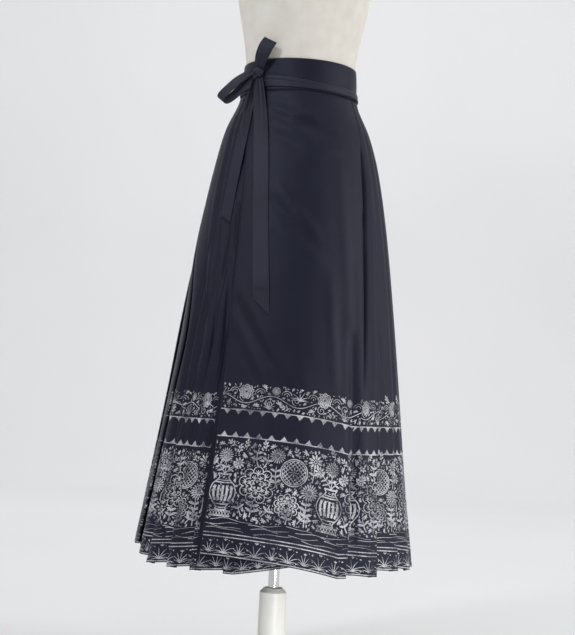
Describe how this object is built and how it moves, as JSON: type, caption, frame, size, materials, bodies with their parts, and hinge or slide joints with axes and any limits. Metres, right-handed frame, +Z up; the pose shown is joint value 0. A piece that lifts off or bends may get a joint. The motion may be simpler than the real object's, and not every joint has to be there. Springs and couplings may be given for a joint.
{
  "type": "pleated wrap skirt on a dress form",
  "caption": "Pleated wrap skirt with flat front and back panels, a waistband and a tied bow, hanging on a limbless dress form on a pole and round base.",
  "frame": {"origin": "centre of the round base's underside, on the floor", "axes": "+Z up along the pole, -Y towards the skirt's front panel, +X towards the wearer's left side"},
  "size_m": [0.5328, 0.4975, 1.6443],
  "materials": {
    "skirt_cloth": "satin",
    "ribbon_cloth": "satin",
    "embroidery_thread": "satin",
    "form_cloth": "matte",
    "white_paint": "satin",
    "chrome": "polished"
  },
  "bodies": {
    "root": {"front_outer_panel": "skirt_cloth", "front_inner_panel": "skirt_cloth", "left_side_pleats": "skirt_cloth", "right_side_pleats": "skirt_cloth", "back_outer_panel": "skirt_cloth", "back_inner_panel": "skirt_cloth", "waistband": "skirt_cloth", "tie_wrap": "ribbon_cloth", "tie_tail_long": "ribbon_cloth", "tie_tail_short": "ribbon_cloth", "bow_knot": "ribbon_cloth", "bow_loop_side": "ribbon_cloth", "bow_loop_up": "ribbon_cloth", "form_torso": "form_cloth", "form_neck_cap": "white_paint", "form_pole": "chrome", "form_post": "white_paint", "form_base": "white_paint"}
  },
  "joints": []
}
